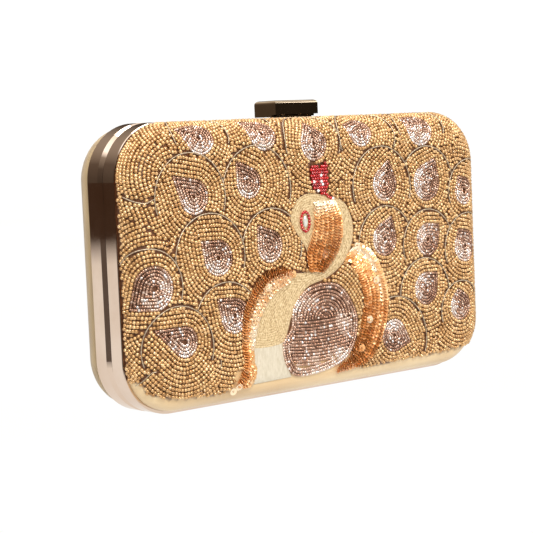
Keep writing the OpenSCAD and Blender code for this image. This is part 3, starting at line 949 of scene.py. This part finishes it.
def make_feather_eyes():
    for i, f in enumerate(FEATHERS):
        points, along, level = [], [], []
        d = -0.55
        while f.r + d > 0.4:
            p, t = f.row(d, 1.0)
            points.append(p)
            along.append(t)
            level.append(np.full(len(p), -d))
            d -= 1.28
        points, along, level = np.vstack(points), np.vstack(along), np.concatenate(level)
        keep = FRONT.past_foot(points) < FIELD_LIMIT
        keep &= ~inside(LEFT_BAND, points) & ~inside(RIGHT_BAND, points)
        points, along, level = points[keep], along[keep], level[keep]
        n = len(points)
        # Painted highlights: the beads on one side of each eye are lightened as if lit from there, and about
        # one bead in twelve gets a painted glint.
        toward = np.array((math.cos(f.turn + 1.9), math.sin(f.turn + 1.9)))
        glint = ((points - f.eye) @ toward) / f.r
        shade = 0.46 + 0.42 * np.clip(glint, -0.6, 1) + rng.normal(0, 0.2, n) + 0.5 * (rng.random(n) < 0.08)
        string_beads(
            f"feather_eye_{i + 1:02d}", points, along, BROWN, 0.94,
            rng.normal(0.6, 0.02, n), COVER_R + 0.48, np.clip(shade, 0, 1),
            replaced=("feather_eyes",) if i == 0 else (), profile=SMALL_BEAD,
        )


def make_cords():
    tubes = []
    for i, f in enumerate(FEATHERS):
        turn = np.arange(-0.36, math.pi + 0.36, 0.45 / f.cell_r)
        p = f.centre + f.cell_r * np.stack([np.cos(turn), np.sin(turn)], 1)
        keep = in_field(p, 0.25)
        if i:
            keep &= ~(np.linalg.norm(p[:, None, :] - CENTRES[:i], axis=2) < RADII[:i]).any(1)
        run = []
        for ok, point in list(zip(keep, p)) + [(False, None)]:
            if ok:
                run.append(point)
            else:
                if len(run) > 7:
                    tubes.append(tube(*FRONT.lift(np.array(run), CORD_LEVEL), CORD_R, twist=2.4))
                run = []
    for line in SHORT:
        line = resample(line, 0.45)[0]
        tubes.append(tube(*FRONT.lift(line, CORD_LEVEL), CORD_R, twist=2.4))
    verts, faces = joined(tubes)
    add_piece("cell_cords", verts, faces, CORD, "front_half")


# ---------------------------------------------------------------- the bird

def region(name, outline, level, thick, step, height, material, node, row_fn=None):
    """A raised area of needlework with a clean outline."""
    low, high = outline.min(0) - step, outline.max(0) + step
    xs, zs = np.arange(low[0], high[0] + step, step), np.arange(low[1], high[1] + step, step)
    grid = np.stack(np.meshgrid(xs, zs, indexing="ij"), -1).reshape(-1, 2)
    d, near = to_line(outline, grid)
    is_in = inside(outline, grid)
    nz = len(zs)
    i, j = np.meshgrid(np.arange(len(xs) - 1), np.arange(nz - 1), indexing="ij")
    k = (i * nz + j).ravel()
    quads = np.stack([k, k + nz, k + nz + 1, k + 1], 1)
    quads = quads[is_in[quads].any(1)]
    flat = np.where(is_in[:, None], grid, near)
    used, back = np.unique(quads, return_inverse=True)
    quads = back.reshape(-1, 4)
    flat, d = flat[used], np.where(is_in, d, 0)[used]
    rise = height(d)
    top, normals = FRONT.lift(flat, level)
    top = top + normals * rise[:, None]
    bottom, _ = FRONT.lift(flat, level - thick)
    quads = facing_out(top, quads, normals)
    verts, faces = closed_sheet(top, bottom, quads)
    row = np.tile(row_fn(d) if row_fn else np.zeros(len(flat)), 2)
    piece = add_piece(name, verts, faces, material, "front_half", (node,), None, {"row": row})
    bm = bmesh.new()
    bm.from_mesh(piece.data)
    bmesh.ops.remove_doubles(bm, verts=bm.verts, dist=0.02 * MM)
    bmesh.ops.dissolve_degenerate(bm, edges=bm.edges, dist=0.01 * MM)
    bm.to_mesh(piece.data)
    bm.free()
    piece.data.shade_smooth()
    return piece, len(quads) * step * step


def ridges(d):
    """Rows of thread that follow the outline, d inside it."""
    return 0.5 + 0.5 * np.cos(d * 2 * math.pi / 0.95)


def make_zari():
    def height(d):
        cushion = 0.25 + 0.35 * np.clip(d / 2.2, 0, 1) ** 0.6
        return cushion + 0.05 * ridges(d)

    def low(d):
        return 0.3 + 0.12 * np.clip(d / 1.2, 0, 1)

    on_cover = COVER_R + 0.05
    region("bird_thread_work", BIRD_THREAD, on_cover, 0.15, 0.27, height, ZARI,
           "bird_zari_thread", ridges)
    piece, area = region("silver_cloth_patch", PATCH, on_cover, 0.1, 0.5, low, TISSUE,
                         "silver_patch")


# Painted highlights on the bird's body, where the bead tone is lightened for glints: centre, radius and how
# much paler
BODY_PAINTED_HIGHLIGHTS = (
    (-17, 36, 4.5, 0.3), (-9, 37, 3.5, 0.22), (9, 28, 5, 0.25),
    (6, 13.5, 6, 0.32), (-8, 8.5, 9, 0.25), (-24, 20, 6, 0.15),
)


def make_body():
    points, along, shade = [], [], []

    def take(p, t, s=0.0):
        keep = depth_in(BODY, p) > 0.35
        if points:
            keep &= spaced_out(p, np.vstack(points), 0.86)
        points.append(p[keep])
        along.append(t[keep])
        shade.append(np.full(keep.sum(), s))

    for k, d in enumerate((-0.6, -1.9, -3.2)):
        p, t = resample(moved(BODY, d), BROWN_PITCH, True)
        lower = (p[:, 1] < 13) | (p[:, 0] < -19) if k == 2 else np.ones(len(p), bool)
        take(p[lower], t[lower], 0.12 - 0.05 * k)
    middle = np.array((-2.0, 30.0))
    for k in range(12):
        r = 0.7 + 1.3 * k
        turn = np.linspace(math.pi, 0, 90)
        line = middle + np.stack([np.cos(turn) * r * 1.22, np.sin(turn) * r], 1)
        take(*resample(line, BROWN_PITCH))
    for k in range(20):
        z0 = 30.6 - 1.3 * k
        x = np.linspace(-27, 18, 90)
        line = np.stack([x, z0 - 1.6 * (1 - ((x + 5) / 20) ** 2)], 1)
        take(*resample(line, BROWN_PITCH))
    beads, rows, extra = np.vstack(points), np.vstack(along), np.concatenate(shade)
    n = len(beads)
    painted_highlight = np.zeros(n)
    for x, z, r, much in BODY_PAINTED_HIGHLIGHTS:
        painted_highlight += much * np.exp(-((beads[:, 0] - x) ** 2 + (beads[:, 1] - z) ** 2) / (r * r))
    # Painted highlights from the patches above, and painted glints on about one bead in twenty.
    value = 0.26 + extra + 1.8 * painted_highlight + rng.normal(0, 0.14, n) + 0.6 * (rng.random(n) < 0.05)
    string_beads("bird_body_rows", beads, rows, BROWN, 0.96, rng.normal(0.62, 0.02, n),
                 COVER_R + 0.5, np.clip(value, 0, 1), replaced=("bird_body_beads",), profile=SMALL_BEAD)


def even_line(points, n=220):
    line = smooth_open(points)
    step = np.concatenate([[0], np.cumsum(np.linalg.norm(np.diff(line, axis=0), axis=1))])
    at = np.linspace(0, step[-1], n)
    return np.stack([np.interp(at, step, line[:, k]) for k in (0, 1)], 1)


def sequin_row(line, pitch, tilt, shade, outline, store, least=0.55, size=1.45):
    p, t = resample(line, pitch)
    keep = depth_in(outline, p) > 0.5
    if store["p"]:
        keep &= spaced_out(p, np.vstack(store["p"]), least)
    p, t = p[keep], t[keep]
    n = len(p)
    store["p"].append(p)
    store["t"].append(t)
    store["tilt"].append(np.full(n, tilt) + rng.normal(0, 5, n))
    store["shade"].append(np.clip((shade(p) if callable(shade) else shade) + rng.normal(0, 0.09, n), 0, 1))
    store["size"].append(np.full(n, size) + rng.normal(0, 0.04, n))


def build_sequins(name, store, replaced=(), level=0.75):
    p, t = np.vstack(store["p"]), np.vstack(store["t"])
    tilt, shade, size = (np.concatenate(store[k]) for k in ("tilt", "shade", "size"))
    centre, along, normal, across = FRONT.axes(p, t, COVER_R + level)
    a = np.radians(tilt)[:, None]
    roll = rng.normal(0, 0.10, (len(p), 1))
    axis = normal * np.cos(a) - along * np.sin(a) + across * roll
    axis /= np.linalg.norm(axis, axis=1)[:, None]
    u = along - (along * axis).sum(1)[:, None] * axis
    u /= np.linalg.norm(u, axis=1)[:, None]
    v = np.cross(axis, u)
    verts, faces, each = ringed(SEQUIN, 14, centre, axis, u, v, 1.0, size)
    return add_piece(name, verts, faces, SEQUINS, "front_half", replaced, np.repeat(shade, each))


def new_store():
    return {"p": [], "t": [], "tilt": [], "shade": [], "size": []}


def one_sequin(store, place, direction, tilt, shade, size):
    for key, value in zip(("p", "t", "tilt", "shade", "size"), (place, direction, tilt, shade, size)):
        store[key].append(np.array([value], float))


def make_sequins():
    outer, inner = even_line(LEFT_OUTER), even_line(LEFT_INNER)
    store = new_store()
    for v, pitch, tilt in (
        (0.12, 1.05, 40), (0.32, 1.1, 36), (0.52, 1.6, 16), (0.70, 1.7, 12), (0.90, 1.7, 10),
    ):
        line = outer * (1 - v) + inner * v

        def left_shade(p, v=v):
            # The flat rows start paler than the ruffles, and light is painted on top: a painted glow near z 26
            # and painted shade above z 50 and below z 22.
            lit, dim = (0.84, 0.3) if v > 0.5 else (0.4, 0.04)
            glow = 0.14 * np.exp(-((p[:, 1] - 26) / 5) ** 2)
            return lit - 0.2 * (p[:, 1] > 50) + glow - dim * (p[:, 1] < 22)
        sequin_row(line, pitch, tilt, left_shade, LEFT_BAND, store)
    build_sequins("left_wing_sequins", store, ("sequin_bands",), 1.0)

    outer, inner = even_line(RIGHT_OUTER), even_line(RIGHT_INNER)
    store = new_store()
    for v, pitch, tilt in (
        (0.08, 1.2, 30), (0.26, 1.7, 14), (0.44, 1.2, 30), (0.62, 1.1, 36), (0.80, 1.1, 38), (0.94, 1.1, 40),
    ):
        line = outer * (1 - v) + inner * v

        def right_shade(p, v=v):
            # Painted light: the upper part of the band is lightened, most in the flat second row, and the outer
            # edge a little, as if lit there.
            high = np.clip((p[:, 1] - 30) / 26, 0, 1)
            edge = 0.1 * np.clip((p[:, 0] - 22) / 10, 0, 1)
            return 0.34 + 0.56 * high * math.exp(-((v - 0.24) / 0.2) ** 2) + 0.16 * high + edge
        sequin_row(line, pitch, tilt, right_shade, RIGHT_BAND, store)
    build_sequins("right_wing_sequins", store)

    store = new_store()
    left = even_line([(-5.5, 77.5), (-6, 70), (-8, 63), (-10.8, 57), (-9.5, 50)])
    right = even_line([(4.5, 77.5), (8, 71), (8, 62), (3.8, 54.5), (-3, 49.5)])
    for v, pitch, tilt in (
        (0.06, 1.3, 26), (0.24, 1.25, 30), (0.42, 1.2, 34), (0.60, 1.1, 38), (0.78, 1.1, 40), (0.94, 1.05, 42),
    ):
        line = left * (1 - v) + right * v

        def cheek_shade(p, v=v):
            # Painted light: the top of the cheek and its left rows above z 62 are lightened, and painted shade
            # darkens the lower part.
            top = np.clip((p[:, 1] - 71) / 5, 0, 1)
            painted_shade_below = 0.14 * np.clip((62 - p[:, 1]) / 8, 0, 1)
            return 0.42 + 0.45 * top + 0.2 * (1 - v) * (p[:, 1] > 62) - painted_shade_below
        sequin_row(line, pitch, tilt, cheek_shade, CHEEK, store)
    for x, z in ((-1.2, 56), (0, 75.5), (3, 74.5), (1.5, 72.8)):
        one_sequin(store, (x, z), (0, -1), 8.0, 0.9, 1.55)
    build_sequins("cheek_sequins", store, level=1.0)

    store = new_store()
    for x, z in ((-52, 6.4), (-49.5, 8), (-33, 45.5), (27, 43), (17.5, 15.5), (22.5, 27)):
        one_sequin(store, (x, z), (1, 0), 6.0, 0.95 if x < 0 or z > 20 else 0.5, 1.6)
    build_sequins("single_sequins", store, level=1.35)


EYE = (-11.4, 70.0)


def make_head_details():
    low, high = CREST.min(0), CREST.max(0)
    points = []
    for i, z in enumerate(np.arange(low[1], high[1], 1.22)):
        for x in np.arange(low[0] + (0.65 if i % 2 else 0), high[0], 1.32):
            points.append((x, z))
    points = np.array(points)
    points = points[depth_in(CREST, points) > 0.15]
    string = resample(smooth_open([(0.8, 80.6), (2.5, 79), (5.2, 78.2)]), 1.3)[0]
    n = len(points)
    # About one crest bead in eight is painted near white as a glint.
    shade = np.where(rng.random(n) < 0.13, 0.97, np.clip(rng.normal(0.42, 0.14, n), 0, 0.7))
    shade = np.concatenate([shade, [0.45] * (len(string) - 1), [1.0]])
    points = np.vstack([points, string])
    along = np.tile((0.83, 0.55), (len(points), 1))
    string_beads("crest_red_beads", points, along, RED, 1.22, 0.64, COVER_R + 0.75, shade,
                 replaced=("crest_beads",))

    turn = np.linspace(0, 2 * math.pi, 120)[:-1]
    ring = np.array(EYE) + np.stack([2.25 * np.cos(turn), 3.95 * np.sin(turn)], 1)
    p, t = resample(ring, 1.25, True)
    shade = np.clip(rng.normal(0.45, 0.1, len(p)), 0, 0.7)
    string_beads("eye_red_ring", p, t, RED, 1.2, 0.62, COVER_R + 1.0, shade,
                 replaced=("eye_ring",))
    make_stone()


def make_stone():
    centre, right, normal, up = FRONT.axes(np.array([EYE]), np.array([(1.0, 0.0)]), COVER_R + 0.6)
    sides = 16
    verts, faces = [], []
    turn = np.arange(sides) * 2 * math.pi / sides
    for share, rise in ((0.9, 0.0), (1.0, 0.45), (0.72, 0.85), (0.38, 1.0)):
        for a in turn:
            wide = 1.15 * share * np.cos(a)
            tall = 2.4 * share * np.sin(a) * (0.8 + 0.2 * abs(np.sin(a)))
            upward = up[0] * (1 if up[0][2] > 0 else -1)
            verts.append(centre[0] + right[0] * wide + upward * tall + normal[0] * rise)
    for ring_at in range(3):
        for j in range(sides):
            k = (j + 1) % sides
            low, high = ring_at * sides, (ring_at + 1) * sides
            faces.append([low + j, low + k, high + k, high + j])
    faces.append(list(range(sides))[::-1])
    faces.append([3 * sides + j for j in range(sides)])
    stone = add_piece("eye_marquise_stone", verts, faces, STONE, "front_half", ("eye_stone",),
                      np.full(len(verts), 0.6))
    for polygon in stone.data.polygons:
        polygon.use_smooth = False


# ---------------------------------------------------------------- fabric layers

def bead_gap_shade_mask(p):
    """1 under the bead field, where dark painted shade goes on the satin between the beads, 0 on plain satin.
    """
    top = np.interp(p[:, 0], BOTTOM[:, 0], BOTTOM[:, 1])
    ok = (p[:, 1] > top + 0.2) & (FRONT.past_foot(p) < FIELD_LIMIT + 2)
    return ok.astype(float)


def make_fabrics():
    under_cover = COVER_R - 0.42
    # The front cover carries the mask of the painted shade between the beads.
    cover, cut, area = layer("front_cover_satin", FRONT, COVER_R, under_cover, SKIRT, SATIN, "front_half",
                             "front_cover", more={"painted_gap_shade": bead_gap_shade_mask})
    cover, cut, area = layer("rear_cover_silk", REAR, COVER_R, under_cover, SKIRT, SILK, "rear_half",
                             "rear_cover",
                             more={"across": lambda p: p[:, 0], "up": lambda p: p[:, 1]})
    for side, panel in (("front", FRONT), ("rear", REAR)):
        pad, _, _ = layer(f"{side}_padding_felt", panel, PADDING_R, SHELL_R + 0.05, SKIRT, FELT,
                          f"{side}_half", f"{side}_padding", min_in=SHELL_R + 0.03)
        inner, cut, area = layer(f"{side}_lining_satin", panel, LINING_R, LINING_R - 0.35, LEDGE, LINING,
                                 f"{side}_half", f"{side}_lining", ripple=0.12)


make_fabrics()
make_gold()
make_feather_eyes()
make_cords()
make_zari()
make_body()
make_sequins()
make_head_details()


# ---------------------------------------------------------------- studio

def card(name, centre, size, colour, power):
    """A soft light aimed at the middle of the case."""
    light = bpy.data.lights.new(name, "AREA")
    light.shape, light.size, light.size_y = "RECTANGLE", size[0], size[1]
    light.energy, light.color = power, colour
    lamp = bpy.data.objects.new(name, light)
    bpy.context.scene.collection.objects.link(lamp)
    lamp.location = centre
    lamp.rotation_euler = (Vector((0, 0, 0.055)) - Vector(centre)).to_track_quat("-Z", "Y").to_euler()


def floor_disc(name, radius, material, height):
    """A round floor, so that no straight edge of it shows in the metal."""
    sides = 96
    turn = np.arange(sides) * 2 * math.pi / sides
    rim = [(radius * math.cos(a), radius * math.sin(a), height) for a in turn]
    mesh = bpy.data.meshes.new(name)
    mesh.from_pydata(rim, [], [tuple(range(sides))])
    mesh.materials.append(material)
    o = bpy.data.objects.new(name, mesh)
    bpy.context.scene.collection.objects.link(o)
    return o


def world_light():
    """Even white light, with a dim room round the horizon that only shows in polished surfaces."""
    world = bpy.data.worlds.new("studio")
    world.use_nodes = True
    bpy.context.scene.world = world
    nodes, links = world.node_tree.nodes, world.node_tree.links
    plain = nodes["Background"]
    plain.inputs["Color"].default_value = (1, 0.995, 0.985, 1)
    plain.inputs["Strength"].default_value = 1.06
    room = nodes.new("ShaderNodeBackground")
    height = nodes.new("ShaderNodeSeparateXYZ")
    links.new(nodes.new("ShaderNodeTexCoord").outputs["Generated"], height.inputs[0])
    ramp = nodes.new("ShaderNodeValToRGB")
    elements = ramp.color_ramp.elements
    for position, colour in (
        (0.34, (0.09, 0.066, 0.05, 1)), (0.62, (0.32, 0.27, 0.22, 1)), (0.76, (1.7, 1.66, 1.6, 1)),
    ):
        elements.new(position).color = colour
    elements[0].position, elements[0].color = 0.0, (0.05, 0.036, 0.026, 1)
    elements[-1].position, elements[-1].color = 1.0, (1.6, 1.55, 1.45, 1)
    links.new(height.outputs["Z"], ramp.inputs["Fac"])
    links.new(ramp.outputs["Color"], room.inputs["Color"])
    across = nodes.new("ShaderNodeMath")
    across.operation = "SUBTRACT"
    links.new(height.outputs["Y"], across.inputs[0])
    links.new(height.outputs["X"], across.inputs[1])
    side = nodes.new("ShaderNodeMapRange")
    for key, value in (("From Min", -1.4), ("From Max", 1.4), ("To Min", 0.45), ("To Max", 1.5)):
        side.inputs[key].default_value = value
    links.new(across.outputs[0], side.inputs["Value"])
    links.new(side.outputs["Result"], room.inputs["Strength"])
    rays = nodes.new("ShaderNodeLightPath")
    soft = nodes.new("ShaderNodeBackground")
    soft.inputs["Color"].default_value = (1, 0.99, 0.97, 1)
    soft.inputs["Strength"].default_value = 0.9
    seen = nodes.new("ShaderNodeMixShader")
    links.new(rays.outputs["Is Camera Ray"], seen.inputs["Fac"])
    links.new(soft.outputs[0], seen.inputs[1])
    links.new(plain.outputs[0], seen.inputs[2])
    mix = nodes.new("ShaderNodeMixShader")
    links.new(rays.outputs["Is Glossy Ray"], mix.inputs["Fac"])
    links.new(seen.outputs[0], mix.inputs[1])
    links.new(room.outputs[0], mix.inputs[2])
    links.new(mix.outputs[0], nodes["World Output"].inputs["Surface"])


def table_material():
    """The table as polished metal shows it: pale near by, dim far off and towards the dark camera."""
    m = Mat("table_in_reflections", Base_Color=(0, 0, 0, 1), Emission_Strength=1.0, Specular_IOR_Level=0.0)
    place = m.nodes.new("ShaderNodeSeparateXYZ")
    m.links.new(m.where, place.inputs[0])
    x, y = place.outputs["X"], place.outputs["Y"]
    toward = m.blend(x, -0.85, y, -0.53)
    beside = m.math("ABSOLUTE", m.blend(x, 0.53, y, -0.85))
    shade = m.range(m.math("SUBTRACT", toward, m.math("MULTIPLY", beside, 2.6)), 0.0, 0.92, 0.04, 0.14)
    distance = m.math("POWER", m.blend(x, x, y, y), 0.5)
    far = m.range(distance, 0.0, 1.0, 1.15, 1.6)
    tone = m.math("MAXIMUM", shade, far)
    m.set("Emission Color", m.ramp(tone, (0.0, rgb(246, 243, 238)), (1.0, rgb(66, 48, 36))))
    return m.m


def studio():
    bpy.context.scene.view_settings.view_transform = "Standard"
    low = cad_box[0][2] - OPEN_ROOM * MM
    m = Mat("pale_floor", Base_Color=(0, 0, 0, 1), Emission_Strength=1.02, Specular_IOR_Level=0.0)
    m.set("Emission Color", m.ramp(m.noise(3, 2), (0.3, rgb(253, 253, 252)), (0.7, rgb(255, 255, 255))))
    floor = floor_disc("floor", 6.0, m.m, low)
    floor.visible_glossy = False
    mirrored = floor_disc("floor_in_reflections", 6.0, table_material(), low + 0.001)
    mirrored.visible_camera = mirrored.visible_diffuse = mirrored.visible_shadow = False
    world_light()
    card("key_left", (-0.55, -0.95, 0.75), (0.3, 0.3), (1, 0.97, 0.94), 13)
    card("top_soft", (0.1, -0.2, 1.0), (0.5, 0.5), (1, 0.99, 0.97), 4.5)
    card("fill_right", (1.0, -0.6, 0.6), (0.4, 0.4), (1, 0.98, 0.96), 3)


studio()
